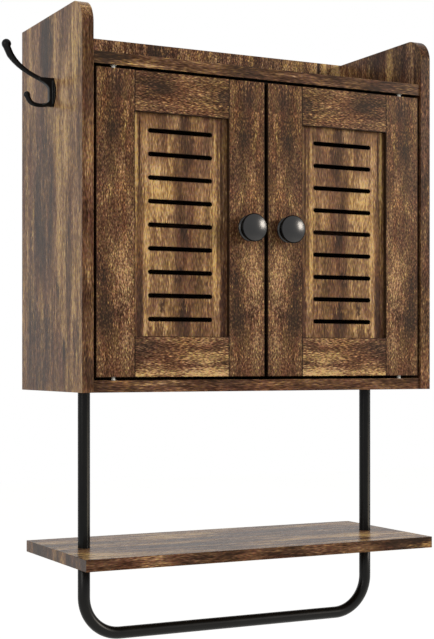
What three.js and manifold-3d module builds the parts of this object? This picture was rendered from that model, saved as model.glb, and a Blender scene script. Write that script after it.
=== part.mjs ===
// A wall cabinet with two pivot-hung louvre-style doors, an open tray on top, a coat hook on its left side,
// and a steel tube frame below that carries an open shelf and a towel bar.
// Millimetres. +Z is up, the wall is at +Y and the doors face -Y.
// The origin is the centre of the back rail's rear face, where the cabinet meets the wall.

import * as THREE from 'three';
import { mergeVertices } from 'three/addons/utils/BufferGeometryUtils.js';
import Module from 'manifold-3d';

const wasm = await Module();
wasm.setup();

// ---------- Driving dimensions ----------

// Case
const caseWidth = 515;
const caseDepth = 220;
const sideHeight = 484;
const boardThickness = 15;
const sideCornerRadius = 30;
const trayDepth = 64;
const boardSetback = 2.5;
const backRailThickness = 12;
const backRailSeat = 2;
const backPanelThickness = 3;
const backPanelSetIn = 10;
const panelGrooveDepth = 6;

// Inner shelf and its pins
const innerShelfThickness = 15;
const innerShelfTop = 218;
const innerShelfFrontSpace = 28;
const innerShelfEndGap = 1;
const shelfPinFromFront = 70;
const shelfPinFromBack = 45;
const shelfPinPitch = 32;
const shelfPinRows = 3;
const shelfPinPlugRadius = 2.5;
const shelfPinPlugLength = 8;
const shelfPinStubRadius = 3.4;
const shelfPinStubLength = 8;

// Doors
const doorThickness = 15;
const doorSetback = 2;
const doorSideGap = 4;
const doorEndGap = 4;
const doorMiddleGap = 5;
const stileWidth = 52;
const doorRailWidth = 51;
const doorPanelThickness = 5;
const doorPanelRecess = 7;
const doorGrooveDepth = 8;
const tongueShoulder = 10;
const slotEndSpace = 12;
const slotLength = 90;
const slotHeight = 5.5;
const slotPitch = 29.6;

// Door pivots
const pivotFromEdge = 26;
const pivotPinRadius = 2.4;
const pivotPinEngagement = 8;
const pivotPlugRadius = 4;
const pivotPlugLength = 20;
const bushRadius = 4.5;
const bushFloor = 1.7;

// Knobs
const knobFromEdge = 26;
const knobRadius = 18.2;
const knobFootRadius = 8.5;
const knobFootThickness = 1.2;
const knobNeckRadius = 6.3;
const knobRingRadius = 17;
const knobRingFromDoor = 7.8;
const knobRingThickness = 1.8;
const knobGrooveRadius = 14.7;
const knobGrooveTaper = 1.6;
const knobRimFromDoor = 18;
const knobRimThickness = 2.8;
const knobProjection = 24.6;
const knobScrewRadius = 2;
const knobScrewEngagement = 9;
const knobScrewHeadRadius = 4;
const knobScrewHeadHeight = 2.2;

// Magnetic catch and strike plates
const catchWidth = 58;
const catchHeight = 12;
const catchDepth = 18;
const catchCornerRadius = 3;
const catchPegRadius = 2.5;
const catchPegLength = 7;
const catchPegSpacing = 34;
const strikeWidth = 22;
const strikeHeight = 13;
const strikeThickness = 1;
const strikeFromEdge = 16;
const strikeBelowDoorTop = 1;

// Corner cam fittings
const camRadius = 7.5;
const camHeight = 12;
const camFromEnd = 24;
const camCrossLength = 9;
const camCrossWidth = 1.6;
const camCrossDepth = 1.5;
const camFromFront = 128;
const camBoltRadius = 3;
const camBoltThreadRadius = 2.5;
const camBoltThreadLength = 10.5;
const camBoltHeadRadius = 3.3;
const camBoltNeckRadius = 2;
const camBoltNeckLength = 4;
const camBoltHeadLength = 2.4;

// Screw heads: shares of the head's own size
const headHeightShare = 0.8;
const recessLengthShare = 1.2;
const recessWidthShare = 0.3;
const recessDepthShare = 0.6;

// Hanging plates at the upper rear corners
const plateThickness = 1.6;
const plateHeight = 20;
const plateLength = 64;
const plateFromOutside = 2;
const plateScrewFromEnd = 6;
const keyholeFromEnd = 32;
const keyholeEntryRadius = 4.5;
const keyholeSlotWidth = 5;
const keyholeSlotRise = 7;
const keyholePocketDepth = 7.5;
const plateScrewRadius = 1.75;
const plateScrewLength = 12;
const plateScrewHeadRadius = 3.2;

// Coat hook on the left side
const hookFromFront = 99.6;
const hookFromTop = 101.6;
const hookPlateHalfWidth = 10.6;
const hookPlateHalfHeight = 18.3;
const hookPlateThickness = 2.4;
const hookWebWidth = 7.6;
const hookWebThickness = 4.2;
const hookScrewSpacing = 14.8;
const hookScrewRadius = 1.4;
const hookScrewLength = 11;
const hookScrewHeadRadius = 2.6;
const throatTopBend = 5;
const throatBottomBend = 4;
const upperProngRoot = 10;
const upperProngReach = 63.3;
const upperProngRise = 52.9;
const upperProngRadius = 4;
const upperProngWaist = 2.6;
const upperBallRadius = 6.3;
const lowerProngRoot = 14;
const lowerProngReach = 37.8;
const lowerProngRise = 12.7;
const lowerProngRadius = 3.2;
const lowerProngWaist = 2.3;
const lowerBallRadius = 4.5;

// Tube frame, lower shelf and towel bar
const tubeRadius = 8;
const tubeWall = 1.2;
const tubeFromSide = 42;
const tubeFromFront = 100;
const lowerShelfDrop = 203;
const lowerShelfThickness = 15;
const lowerShelfInset = 2;
const lowerShelfOverhang = 8;
const lowerShelfBackSpace = 12;
const towelBarDrop = 317;
const towelBendRadius = 50;
const tubePlugLength = 14;
const tubeSeatDepth = 1.5;
const studRadius = 3;
const studEngagement = 12;
const frameBoltHeadRadius = 6.5;
const frameBoltHeadHeight = 3.6;
const frameBoltSocketRadius = 2.2;
const frameBoltSocketDepth = 2;

// Clearances
const fitClearance = 0.3;
const roundClearance = 0.35;
const overcut = 1;

// Facets of round pieces
const tubeSides = 20;
const holeSides = 12;
const knobSides = 24;
const smallSides = 14;
const prongSides = 10;
const bendSteps = 10;
const towelBarSteps = 2 * bendSteps + 3;

// ---------- Places worked out from the sizes ----------

const outerX = caseWidth / 2;
const innerX = outerX - boardThickness;
const frontY = -caseDepth;
const boardFrontY = frontY + boardSetback;
const backPanelBackY = -backPanelSetIn;
const backPanelFrontY = backPanelBackY - backPanelThickness;
const topBoardTop = sideHeight - trayDepth;
const topBoardUnderside = topBoardTop - boardThickness;
const backRailMiddle = topBoardTop + trayDepth / 2;

const doorFrontY = frontY + doorSetback;
const doorBackY = doorFrontY + doorThickness;
const doorMiddleY = doorFrontY + doorThickness / 2;
const doorOuterX = innerX - doorSideGap;
const doorInnerX = doorMiddleGap / 2;
const doorBottom = boardThickness + doorEndGap;
const doorTop = topBoardUnderside - doorEndGap;
const doorMiddleZ = (doorBottom + doorTop) / 2;
const slotSpan = doorTop - doorBottom - 2 * (doorRailWidth + slotEndSpace) - slotHeight;
const slotCount = 1 + Math.floor(slotSpan / slotPitch);
const doorPanelFrontY = doorFrontY + doorPanelRecess;
const doorPanelBackY = doorPanelFrontY + doorPanelThickness;
const pivotX = doorOuterX - pivotFromEdge;
const knobX = doorInnerX + knobFromEdge;

const bushLength = pivotPinEngagement + fitClearance + bushFloor;
const innerShelfFrontY = doorBackY + innerShelfFrontSpace;
const innerShelfBackY = backPanelFrontY - fitClearance;
const shelfPinZ = innerShelfTop - innerShelfThickness - fitClearance - shelfPinStubRadius;
const camY = frontY + camFromFront;
const camX = innerX - camFromEnd;
const hookY = frontY + hookFromFront;
const hookHeight = sideHeight - hookFromTop;
const hookFaceX = -outerX - hookPlateThickness;
const tubeX = outerX - tubeFromSide;
const tubeY = frontY + tubeFromFront;
const frameBoltSeat = boardThickness - frameBoltHeadHeight - fitClearance;
const lowerShelfTop = -lowerShelfDrop;
const lowerShelfUnderside = lowerShelfTop - lowerShelfThickness;
const towelBarZ = -towelBarDrop;

const sides = [
  { name: 'left', sign: -1 },
  { name: 'right', sign: 1 },
];

// ---------- Solids: three.js geometry in, manifold solid for joins and cuts, geometry out ----------

function toSolid(geometry) {
  const bare = geometry.clone();
  bare.deleteAttribute('normal');
  bare.deleteAttribute('uv');
  const merged = mergeVertices(bare, 1e-4);
  return new wasm.Manifold(new wasm.Mesh({
    numProp: 3,
    vertProperties: new Float32Array(merged.attributes.position.array),
    triVerts: new Uint32Array(merged.index.array),
  }));
}

function toGeometry(solid) {
  const mesh = solid.getMesh();
  const geometry = new THREE.BufferGeometry();
  geometry.setAttribute('position', new THREE.BufferAttribute(mesh.vertProperties, 3));
  geometry.setIndex(new THREE.BufferAttribute(mesh.triVerts, 1));
  geometry.computeVertexNormals();
  return geometry;
}

function cut(body, ...tools) {
  return toGeometry(tools.reduce((solid, tool) => solid.subtract(toSolid(tool)), toSolid(body)));
}

function join(body, ...pieces) {
  return toGeometry(pieces.reduce((solid, piece) => solid.add(toSolid(piece)), toSolid(body)));
}

// A box between two corners, given in either order.
function block([xa, ya, za], [xb, yb, zb]) {
  const geometry = new THREE.BoxGeometry(Math.abs(xb - xa), Math.abs(yb - ya), Math.abs(zb - za));
  return geometry.translate((xa + xb) / 2, (ya + yb) / 2, (za + zb) / 2);
}

// A turned solid: profile points are [radius, distance along the axis] from a start point.
function turned(profile, start, axis, segments) {
  const points = profile.map(([radius, along]) => new THREE.Vector2(radius, along));
  const turn = new THREE.Quaternion().setFromUnitVectors(new THREE.Vector3(0, 1, 0),
    new THREE.Vector3(...axis));
  return new THREE.LatheGeometry(points, segments).applyQuaternion(turn).translate(...start);
}

function rod(radius, length, start, axis, segments = holeSides) {
  return turned([[0, 0], [radius, 0], [radius, length], [0, length]], start, axis, segments);
}

function extruded(shape, depth, curveSegments) {
  return new THREE.ExtrudeGeometry(shape, { depth, curveSegments, bevelEnabled: false });
}

// A flat outline drawn in (y, z) and given a thickness along +X.
function slabAlongX(shape, thickness, x, curveSegments) {
  const geometry = extruded(shape, thickness, curveSegments);
  const basis = new THREE.Matrix4().makeBasis(
    new THREE.Vector3(0, 1, 0), new THREE.Vector3(0, 0, 1), new THREE.Vector3(1, 0, 0));
  return geometry.applyMatrix4(basis).translate(x, 0, 0);
}

// A flat outline drawn in (x, z) and given a thickness from y towards the front.
function slabTowardsFront(shape, thickness, y, curveSegments) {
  const geometry = extruded(shape, thickness, curveSegments);
  return geometry.rotateX(Math.PI / 2).translate(0, y, 0);
}

const UP = [0, 0, 1];
const DOWN = [0, 0, -1];
const TO_WALL = [0, 1, 0];
const TO_FRONT = [0, -1, 0];

// ---------- Materials ----------

const wood = () => new THREE.MeshStandardMaterial({ color: 0x6b4a30, roughness: 0.6, metalness: 0 });
const goldenWood = () => new THREE.MeshStandardMaterial({ color: 0x8a6238, roughness: 0.6, metalness: 0 });
const hardboard = () => new THREE.MeshStandardMaterial({ color: 0x5c4029, roughness: 0.8, metalness: 0 });
const blackSteel = () => new THREE.MeshStandardMaterial({ color: 0x232323, roughness: 0.45, metalness: 0.6 });
const darkMetal = () => new THREE.MeshStandardMaterial({ color: 0x3f4143, roughness: 0.4, metalness: 0.7 });
const zincSteel = () => new THREE.MeshStandardMaterial({ color: 0xa9adb0, roughness: 0.35, metalness: 1 });
const whiteNylon = () => new THREE.MeshStandardMaterial({ color: 0xe8e8e4, roughness: 0.5, metalness: 0 });
const brownPlastic = () => new THREE.MeshStandardMaterial({ color: 0x3a2a1e, roughness: 0.5, metalness: 0 });

const cabinet = new THREE.Group();
cabinet.position.set(0, 0, -backRailMiddle);

function place(name, geometry, material) {
  const mesh = new THREE.Mesh(geometry, material);
  mesh.name = name;
  cabinet.add(mesh);
}

// ---------- Case ----------

function cornerPath() {
  const shape = new THREE.Shape();
  shape.moveTo(0, 0);
  shape.lineTo(0, sideHeight);
  shape.lineTo(frontY + sideCornerRadius, sideHeight);
  shape.absarc(frontY + sideCornerRadius, sideHeight - sideCornerRadius, sideCornerRadius,
    Math.PI / 2, Math.PI, false);
  shape.lineTo(frontY, 0);
  return shape;
}

// Pocket for a hanging plate, across the side panel's rear edge and the back rail's rear face.
function platePocket(sign) {
  const outside = outerX - plateFromOutside + fitClearance;
  const inside = outerX - plateFromOutside - plateLength - fitClearance;
  const reach = plateHeight / 2 + fitClearance;
  return block([sign * outside, -plateThickness - fitClearance, backRailMiddle - reach],
    [sign * inside, boardThickness, backRailMiddle + reach]);
}

function plateScrewPlaces(sign) {
  const outside = outerX - plateFromOutside;
  return [outside - plateScrewFromEnd, outside - plateLength + plateScrewFromEnd].map((x) => sign * x);
}

function plateScrewHole(x) {
  const depth = plateThickness + plateScrewLength + fitClearance;
  return rod(plateScrewRadius + fitClearance, depth, [x, -depth, backRailMiddle], TO_WALL);
}

function backPanelGroove() {
  const reach = innerX + panelGrooveDepth;
  return block([-reach, backPanelFrontY - fitClearance, boardThickness - panelGrooveDepth],
    [reach, backPanelBackY + fitClearance, topBoardUnderside + panelGrooveDepth]);
}

function shelfPinHoles(sign) {
  const depth = shelfPinPlugLength + fitClearance;
  const holes = [];
  for (const y of shelfPinPlaces()) {
    for (let row = 0; row < shelfPinRows; row += 1) {
      const z = shelfPinZ + (row - (shelfPinRows - 1) / 2) * shelfPinPitch;
      holes.push(rod(shelfPinPlugRadius + fitClearance, depth, [sign * innerX, y, z], [sign, 0, 0]));
    }
  }
  return holes;
}

function shelfPinPlaces() {
  return [doorBackY + shelfPinFromFront, innerShelfBackY - shelfPinFromBack];
}

function camBoltHeights() {
  return [boardThickness / 2, topBoardTop - boardThickness / 2];
}

function sidePanel(sign) {
  const panel = slabAlongX(cornerPath(), boardThickness, sign > 0 ? innerX : -outerX, 12);
  const boltHoles = camBoltHeights().map((z) => rod(camBoltThreadRadius + fitClearance,
    camBoltThreadLength + fitClearance, [sign * innerX, camY, z], [sign, 0, 0]));
  const hookHoles = sign < 0 ? hookScrewPlaces().map((y) => rod(hookScrewRadius + fitClearance,
    hookScrewLength + fitClearance, [-outerX, y, hookHeight], [1, 0, 0])) : [];
  return cut(panel, backPanelGroove(), platePocket(sign), plateScrewHole(plateScrewPlaces(sign)[0]),
    ...boltHoles, ...hookHoles, ...shelfPinHoles(sign));
}

// Cam pocket from the hidden face of a board, with the bore that the cam bolt comes in by.
function camCuts(sign, boltZ, openZ, openDirection) {
  const pocketDepth = camHeight + fitClearance;
  const pocket = rod(camRadius + fitClearance, pocketDepth, [sign * camX, camY, openZ],
    [0, 0, openDirection], smallSides);
  const boltBore = rod(camBoltHeadRadius + roundClearance, camFromEnd, [sign * innerX, camY, boltZ],
    [-sign, 0, 0]);
  return [pocket, boltBore];
}

function bushHole(sign, faceZ, direction) {
  return rod(bushRadius + fitClearance, bushLength + fitClearance, [sign * pivotX, doorMiddleY, faceZ],
    [0, 0, direction], smallSides);
}

function catchPegHoles() {
  const y = doorBackY + strikeThickness + fitClearance + catchDepth / 2;
  return sides.map(({ sign }) => rod(catchPegRadius + fitClearance, catchPegLength + fitClearance,
    [sign * catchPegSpacing / 2, y, topBoardUnderside], UP));
}

function topBoard() {
  const board = block([-innerX, boardFrontY, topBoardUnderside], [innerX, 0, topBoardTop]);
  const rebate = block([-outerX, -backRailThickness - fitClearance, topBoardTop - backRailSeat],
    [outerX, overcut, sideHeight]);
  const boltZ = topBoardTop - boardThickness / 2;
  const cuts = sides.flatMap(({ sign }) => [
    ...camCuts(sign, boltZ, topBoardUnderside, 1),
    bushHole(sign, topBoardUnderside, 1),
  ]);
  return cut(board, backPanelGroove(), rebate, ...catchPegHoles(), ...cuts);
}

function bottomBoard() {
  const board = block([-innerX, boardFrontY, 0], [innerX, 0, boardThickness]);
  const cuts = sides.flatMap(({ sign }) => [
    ...camCuts(sign, boardThickness / 2, 0, 1),
    bushHole(sign, boardThickness, -1),
    rod(studRadius + roundClearance, boardThickness, [sign * tubeX, tubeY, 0], UP),
    rod(frameBoltHeadRadius + fitClearance, boardThickness, [sign * tubeX, tubeY, frameBoltSeat], UP,
      smallSides),
  ]);
  return cut(board, backPanelGroove(), ...cuts);
}

function backPanel() {
  const reach = panelGrooveDepth - fitClearance;
  return block([-innerX - reach, backPanelFrontY, boardThickness - reach],
    [innerX + reach, backPanelBackY, topBoardUnderside + reach]);
}

// Room behind a keyhole for the head of a wall screw.
function keyholePocket(sign) {
  const x = sign * (outerX - plateFromOutside - keyholeFromEnd);
  const reach = keyholeEntryRadius + fitClearance;
  const rise = reach + keyholeSlotRise / 2;
  return block([x - reach, -plateThickness - keyholePocketDepth, backRailMiddle - rise],
    [x + reach, boardThickness, backRailMiddle + rise]);
}

function backRail() {
  const rail = block([-innerX, -backRailThickness, topBoardTop - backRailSeat], [innerX, 0, sideHeight]);
  const cuts = sides.flatMap(({ sign }) => [
    platePocket(sign), keyholePocket(sign), plateScrewHole(plateScrewPlaces(sign)[1]),
  ]);
  return cut(rail, ...cuts);
}

function innerShelf() {
  const end = innerX - innerShelfEndGap;
  return block([-end, innerShelfFrontY, innerShelfTop - innerShelfThickness],
    [end, innerShelfBackY, innerShelfTop]);
}

function shelfPin(sign, y) {
  const profile = [[0, 0], [shelfPinPlugRadius, 0], [shelfPinPlugRadius, shelfPinPlugLength],
    [shelfPinStubRadius, shelfPinPlugLength], [shelfPinStubRadius, shelfPinPlugLength + shelfPinStubLength],
    [0, shelfPinPlugLength + shelfPinStubLength]];
  return turned(profile, [sign * (innerX + shelfPinPlugLength), y, shelfPinZ], [-sign, 0, 0], smallSides);
}

// ---------- Corner fittings ----------

function cam(sign, openZ, boltZ) {
  const body = rod(camRadius, camHeight, [sign * camX, camY, openZ], UP, smallSides);
  const reach = camBoltHeadRadius + roundClearance;
  const mouth = block([sign * (camX + camRadius + overcut), camY - reach, boltZ - reach],
    [sign * (camX - camBoltHeadLength), camY + reach, boltZ + reach]);
  const cross = [[camCrossLength, camCrossWidth], [camCrossWidth, camCrossLength]].map(([x, y]) =>
    block([sign * camX - x / 2, camY - y / 2, openZ - overcut],
      [sign * camX + x / 2, camY + y / 2, openZ + camCrossDepth]));
  return cut(body, mouth, ...cross);
}

function camBolt(sign, z) {
  const shank = camBoltThreadLength + camFromEnd - camBoltNeckLength - camBoltHeadLength / 2;
  const neck = shank + camBoltNeckLength;
  const end = neck + camBoltHeadLength;
  const profile = [[0, 0], [camBoltThreadRadius, 0], [camBoltThreadRadius, camBoltThreadLength],
    [camBoltRadius, camBoltThreadLength], [camBoltRadius, shank], [camBoltNeckRadius, shank],
    [camBoltNeckRadius, neck], [camBoltHeadRadius, neck], [camBoltHeadRadius, end], [0, end]];
  return turned(profile, [sign * (innerX + camBoltThreadLength), camY, z], [-sign, 0, 0], holeSides);
}

// ---------- Hanging plates ----------

function hangingPlate(sign) {
  const outside = sign * (outerX - plateFromOutside);
  const inside = sign * (outerX - plateFromOutside - plateLength);
  const plate = block([outside, -plateThickness, backRailMiddle - plateHeight / 2],
    [inside, 0, backRailMiddle + plateHeight / 2]);
  const keyholeX = sign * (outerX - plateFromOutside - keyholeFromEnd);
  const entryZ = backRailMiddle - keyholeSlotRise / 2;
  const throughY = -plateThickness - overcut;
  const entry = rod(keyholeEntryRadius, plateThickness + 2 * overcut, [keyholeX, throughY, entryZ], TO_WALL,
    smallSides);
  const slot = block([keyholeX - keyholeSlotWidth / 2, throughY, entryZ],
    [keyholeX + keyholeSlotWidth / 2, overcut, backRailMiddle + keyholeSlotRise / 2 + keyholeSlotWidth / 2]);
  const holeRadius = plateScrewRadius + fitClearance;
  const headRadius = plateScrewHeadRadius + fitClearance;
  const holeProfile = [[0, 0], [holeRadius, 0], [headRadius, plateThickness],
    [headRadius, plateThickness + overcut], [0, plateThickness + overcut]];
  const screwHoles = plateScrewPlaces(sign).map((x) => turned(holeProfile,
    [x, -plateThickness, backRailMiddle], TO_WALL, holeSides));
  return cut(plate, entry, slot, ...screwHoles);
}

// The two bars of the cross recess in a screw head, centred on the head's face.
function crossRecess(headRadius, depth, face, inward) {
  const tilt = new THREE.Quaternion().setFromUnitVectors(new THREE.Vector3(0, 1, 0),
    new THREE.Vector3(...inward));
  return [0, 1].map((turn) => new THREE.BoxGeometry(headRadius * recessLengthShare, 2 * depth,
    headRadius * recessWidthShare).rotateY(turn * Math.PI / 2).applyQuaternion(tilt).translate(...face));
}

// A countersunk screw whose head is level with the face that it is driven into.
function flatHeadScrew(radius, headRadius, headHeight, length, face, inward) {
  const profile = [[0, 0], [headRadius, 0], [radius, headHeight], [radius, length - radius], [0, length]];
  return cut(turned(profile, face, inward, holeSides),
    ...crossRecess(headRadius, headHeight * recessDepthShare, face, inward));
}

// ---------- Doors ----------

function doorGroove(xa, xb, za, zb) {
  return block([xa, doorPanelFrontY - fitClearance, za], [xb, doorPanelBackY + fitClearance, zb]);
}

function pivotHole(sign, faceZ, direction) {
  return rod(pivotPlugRadius + fitClearance, pivotPlugLength + fitClearance,
    [sign * pivotX, doorMiddleY, faceZ], [0, 0, direction], smallSides);
}

function outerStile(sign) {
  const innerEdge = doorOuterX - stileWidth;
  const stile = block([sign * doorOuterX, doorFrontY, doorBottom], [sign * innerEdge, doorBackY, doorTop]);
  const groove = doorGroove(sign * (innerEdge - overcut), sign * (innerEdge + doorGrooveDepth),
    doorBottom + tongueShoulder, doorTop - tongueShoulder);
  return cut(stile, groove, pivotHole(sign, doorBottom, 1), pivotHole(sign, doorTop, -1));
}

function innerStile(sign) {
  const outerEdge = doorInnerX + stileWidth;
  const stile = block([sign * doorInnerX, doorFrontY, doorBottom], [sign * outerEdge, doorBackY, doorTop]);
  const groove = doorGroove(sign * (outerEdge + overcut), sign * (outerEdge - doorGrooveDepth),
    doorBottom + tongueShoulder, doorTop - tongueShoulder);
  const knobHole = rod(knobScrewRadius + fitClearance, doorThickness + 2 * overcut,
    [sign * knobX, doorFrontY - overcut, doorMiddleZ], TO_WALL);
  return cut(stile, groove, knobHole);
}

// A door rail between the stiles, with a tongue at each end; up is +1 for the top rail and -1 for the bottom.
function doorRail(sign, up) {
  const outerZ = up > 0 ? doorTop : doorBottom;
  const innerZ = outerZ - up * doorRailWidth;
  const xa = doorInnerX + stileWidth;
  const xb = doorOuterX - stileWidth;
  const body = block([sign * xa, doorFrontY, outerZ], [sign * xb, doorBackY, innerZ]);
  const reach = doorGrooveDepth - fitClearance;
  const tongue = block([sign * (xa - reach), doorPanelFrontY, outerZ - up * (tongueShoulder + fitClearance)],
    [sign * (xb + reach), doorPanelBackY, innerZ]);
  const groove = doorGroove(sign * (xa - stileWidth), sign * (xb + stileWidth),
    innerZ - up * overcut, innerZ + up * doorGrooveDepth);
  return cut(join(body, tongue), groove);
}

function slotOutline(x, z) {
  const radius = slotHeight / 2;
  const half = slotLength / 2 - radius;
  const path = new THREE.Path();
  path.moveTo(x - half, z - radius);
  path.lineTo(x + half, z - radius);
  path.absarc(x + half, z, radius, -Math.PI / 2, Math.PI / 2, false);
  path.lineTo(x - half, z + radius);
  path.absarc(x - half, z, radius, Math.PI / 2, 3 * Math.PI / 2, false);
  return path;
}

function slottedPanel(sign) {
  const reach = doorGrooveDepth - fitClearance;
  const xs = [sign * (doorInnerX + stileWidth - reach), sign * (doorOuterX - stileWidth + reach)];
  const left = Math.min(...xs);
  const right = Math.max(...xs);
  const bottom = doorBottom + doorRailWidth - reach;
  const top = doorTop - doorRailWidth + reach;
  const shape = new THREE.Shape();
  shape.moveTo(left, bottom);
  shape.lineTo(right, bottom);
  shape.lineTo(right, top);
  shape.lineTo(left, top);
  for (let slot = 0; slot < slotCount; slot += 1) {
    const z = doorMiddleZ + (slot - (slotCount - 1) / 2) * slotPitch;
    shape.holes.push(slotOutline((left + right) / 2, z));
  }
  return slabTowardsFront(shape, doorPanelThickness, doorPanelBackY, 3);
}

// White pivot plug in the end of a door, with the pin that turns in its bush.
function pivotPin(sign, faceZ, outward) {
  const shoulder = pivotPlugLength;
  const end = shoulder + doorEndGap + pivotPinEngagement;
  const profile = [[0, 0], [pivotPlugRadius, 0], [pivotPlugRadius, shoulder], [pivotPinRadius, shoulder],
    [pivotPinRadius, end], [0, end]];
  return turned(profile, [sign * pivotX, doorMiddleY, faceZ - outward * pivotPlugLength],
    [0, 0, outward], smallSides);
}

function pivotBush(sign, faceZ, inward) {
  const bore = pivotPinRadius + fitClearance;
  const floor = pivotPinEngagement + fitClearance;
  const profile = [[0, floor], [bore, floor], [bore, 0], [bushRadius, 0], [bushRadius, bushLength],
    [0, bushLength]];
  return turned(profile, [sign * pivotX, doorMiddleY, faceZ], [0, 0, inward], smallSides);
}

function knob(sign) {
  const bore = knobScrewRadius + fitClearance;
  const boreDepth = knobScrewEngagement + fitClearance;
  const neckStart = knobFootThickness + knobFootRadius - knobNeckRadius;
  const ringEnd = knobRingFromDoor + knobRingThickness;
  const rimEnd = knobRimFromDoor + knobRimThickness;
  const crown = [0.96, 0.88, 0.7, 0.4, 0].map((share) =>
    [knobRadius * share, rimEnd + (knobProjection - rimEnd) * Math.sqrt(1 - share ** 3)]);
  const profile = [[0, boreDepth], [bore, boreDepth], [bore, 0], [knobFootRadius, 0],
    [knobFootRadius, knobFootThickness], [knobNeckRadius, neckStart],
    [knobNeckRadius, knobRingFromDoor * 0.65], [knobRingRadius, knobRingFromDoor], [knobRingRadius, ringEnd],
    [knobGrooveRadius, ringEnd + knobGrooveTaper], [knobGrooveRadius, knobRimFromDoor - knobGrooveTaper],
    [knobRadius, knobRimFromDoor], [knobRadius, rimEnd], ...crown];
  return turned(profile, [sign * knobX, doorFrontY, doorMiddleZ], TO_FRONT, knobSides);
}

function knobScrew(sign) {
  const shaft = knobScrewHeadHeight + doorThickness + knobScrewEngagement;
  const profile = [[0, 0], [knobScrewHeadRadius * 0.7, 0], [knobScrewHeadRadius, knobScrewHeadHeight * 0.55],
    [knobScrewHeadRadius, knobScrewHeadHeight], [knobScrewRadius, knobScrewHeadHeight],
    [knobScrewRadius, shaft], [0, shaft]];
  const face = [sign * knobX, doorBackY + knobScrewHeadHeight, doorMiddleZ];
  return cut(turned(profile, face, TO_FRONT, holeSides),
    ...crossRecess(knobScrewHeadRadius, knobScrewHeadHeight * recessDepthShare, face, TO_FRONT));
}

function strikePlate(sign) {
  const x = sign * (doorInnerX + strikeFromEdge);
  const top = doorTop - strikeBelowDoorTop;
  return block([x - strikeWidth / 2, doorBackY, top - strikeHeight],
    [x + strikeWidth / 2, doorBackY + strikeThickness, top]);
}

function magneticCatch() {
  const front = doorBackY + strikeThickness + fitClearance;
  const back = front + catchDepth;
  const cornerX = catchWidth / 2 - catchCornerRadius;
  const cornerY = back - catchCornerRadius;
  const shape = new THREE.Shape();
  shape.moveTo(-catchWidth / 2, front);
  shape.lineTo(catchWidth / 2, front);
  shape.lineTo(catchWidth / 2, cornerY);
  shape.absarc(cornerX, cornerY, catchCornerRadius, 0, Math.PI / 2, false);
  shape.absarc(-cornerX, cornerY, catchCornerRadius, Math.PI / 2, Math.PI, false);
  const body = extruded(shape, catchHeight, 4).translate(0, 0, topBoardUnderside - catchHeight);
  const pegs = sides.map(({ sign }) => rod(catchPegRadius, catchPegLength + overcut,
    [sign * catchPegSpacing / 2, (front + back) / 2, topBoardUnderside - overcut], UP));
  return join(body, ...pegs);
}

// ---------- Coat hook ----------

function hookScrewPlaces() {
  return [hookY - hookScrewSpacing / 2, hookY + hookScrewSpacing / 2];
}

// Line of a prong from its root in the plate to its tip, as [share of the reach, share of the rise].
const upperProngShares = [[0, 0], [0.176, 0.078], [0.349, 0.159], [0.478, 0.225], [0.607, 0.31],
  [0.713, 0.395], [0.797, 0.48], [0.899, 0.611], [0.953, 0.724], [0.986, 0.824], [1, 1]];
const lowerProngShares = [[0, 0], [0.224, -0.19], [0.445, -0.27], [0.664, -0.213], [0.773, -0.094],
  [0.852, 0.126], [0.893, 0.323], [0.943, 0.693], [1, 1]];

// Radius of a prong along its length: it thins after the root and swells into a ball at the tip.
// Profile points are [radius, share of the length].
function prongProfile(rootRadius, waistRadius, ballRadius, length) {
  const steps = 9;
  const ballShare = ballRadius / length;
  const points = [[0, 0], [rootRadius, 0]];
  for (let step = 1; step < steps; step += 1) {
    const share = step / steps;
    const swell = share ** 2.5 * (ballRadius * 0.85 - waistRadius);
    const root = (1 - share) ** 4 * (rootRadius - waistRadius);
    points.push([waistRadius + root + swell, share * (1 - 2 * ballShare)]);
  }
  for (const angle of [-40, -15, 10, 35, 60, 80]) {
    const a = THREE.MathUtils.degToRad(angle);
    points.push([ballRadius * Math.cos(a), 1 - ballShare + ballShare * Math.sin(a)]);
  }
  points.push([0, 1]);
  return points;
}

// The line of a prong in the hook's own plane.
function prongLine(shares, rootHeight, reach, rise) {
  const rootX = hookFaceX;
  const tipX = -outerX - reach;
  const rootZ = hookHeight + rootHeight;
  return new THREE.CatmullRomCurve3(shares.map(([out, up]) =>
    new THREE.Vector3(THREE.MathUtils.lerp(rootX, tipX, out), hookY, rootZ + up * rise)));
}

// A turned solid bent along its line.
function prong(curve, radii) {
  const across = new THREE.Vector3(0, 1, 0);
  const profile = prongProfile(...radii, curve.getLength());
  const geometry = new THREE.LatheGeometry(profile.map(([r, t]) => new THREE.Vector2(r, t)), prongSides);
  const position = geometry.attributes.position;
  for (let i = 0; i < position.count; i += 1) {
    const t = Math.min(Math.max(position.getY(i), 0), 1);
    const centre = curve.getPointAt(t);
    const side = new THREE.Vector3().crossVectors(curve.getTangentAt(t), across);
    centre.addScaledVector(side, position.getX(i)).addScaledVector(across, position.getZ(i));
    position.setXYZ(i, centre.x, centre.y, centre.z);
  }
  return geometry;
}

// An upright plate between two equal arcs that meet at its top and bottom.
function hookPlate() {
  const radius = (hookPlateHalfWidth ** 2 + hookPlateHalfHeight ** 2) / (2 * hookPlateHalfWidth);
  const inset = radius - hookPlateHalfWidth;
  const side = Math.asin(hookPlateHalfHeight / radius);
  const shape = new THREE.Shape();
  shape.absarc(hookY - inset, hookHeight, radius, -side, side, false);
  shape.absarc(hookY + inset, hookHeight, radius, Math.PI - side, Math.PI + side, false);
  return slabAlongX(shape, hookPlateThickness, hookFaceX, 12);
}

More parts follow.
